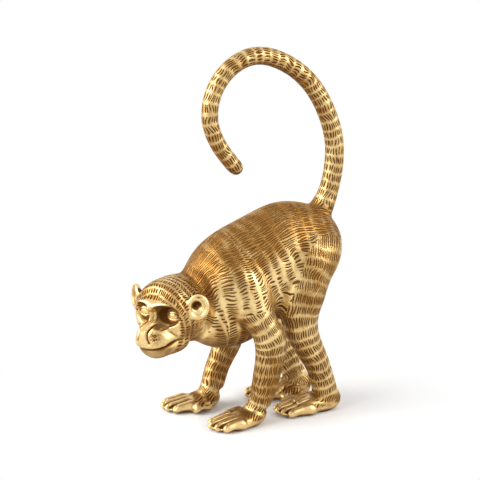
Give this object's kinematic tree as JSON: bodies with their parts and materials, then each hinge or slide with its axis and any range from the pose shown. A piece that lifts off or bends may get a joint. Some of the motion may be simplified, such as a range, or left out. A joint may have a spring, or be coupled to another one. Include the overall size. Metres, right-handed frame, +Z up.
{
  "type": "monkey figurine",
  "caption": "Cast brass monkey walking on all fours, head low and turned to its left, with a long tail curling forward over its back in an open hook; chased all over with fur strokes.",
  "frame": {"origin": "on the surface that the figurine stands on, under the middle of its overall box", "axes": "+Z up, -Y the way the monkey walks, +X its own left"},
  "size_m": [0.0894, 0.184, 0.2891],
  "materials": {
    "gilt_brass": "gold-coloured plate over cast brass, chased with fur strokes, dark brown patina left in the strokes",
    "plug_brass": "plain brass plug, filed flush and plated with the casting",
    "pin_steel": "bare ground steel rod",
    "felt": "thin dark felt, glued"
  },
  "bodies": {
    "root": {"trunk": "gilt_brass", "head": "gilt_brass", "tail": "gilt_brass", "left_arm": "gilt_brass", "right_arm": "gilt_brass", "left_leg": "gilt_brass", "right_leg": "gilt_brass", "core_plug": "plug_brass", "neck_pin": "pin_steel", "tail_pin": "pin_steel", "left_shoulder_pin": "pin_steel", "right_shoulder_pin": "pin_steel", "left_hip_pin": "pin_steel", "right_hip_pin": "pin_steel", "left_arm_felt_pad": "felt", "right_arm_felt_pad": "felt", "left_leg_felt_pad": "felt", "right_leg_felt_pad": "felt"}
  },
  "joints": []
}
